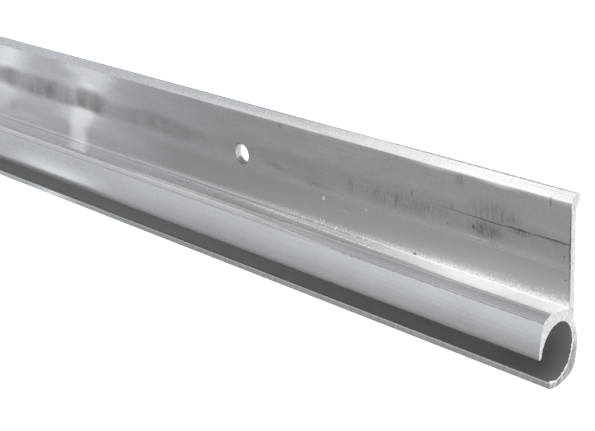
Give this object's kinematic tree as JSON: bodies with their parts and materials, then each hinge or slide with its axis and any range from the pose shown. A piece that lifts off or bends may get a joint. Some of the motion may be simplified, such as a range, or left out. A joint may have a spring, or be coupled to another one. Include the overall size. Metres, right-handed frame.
{
  "type": "awning rail",
  "caption": "Aluminium awning rail: a round channel with a slot for a keder cord, under a thin drilled flange whose top edge is bent back to the wall.",
  "frame": {"origin": "middle of the rail's length and of its section's height, on the wall plane that its back touches", "axes": "+X along the rail to the sawn end that the picture shows, +Y up the flange, +Z away from the wall, out of the screw heads' side"},
  "size_m": [1, 0.0264, 0.0104],
  "materials": {
    "mill_aluminium": "mill finish, with fine die lines along its length and bright sawn ends"
  },
  "bodies": {
    "root": {"rail": "mill_aluminium"}
  },
  "joints": []
}
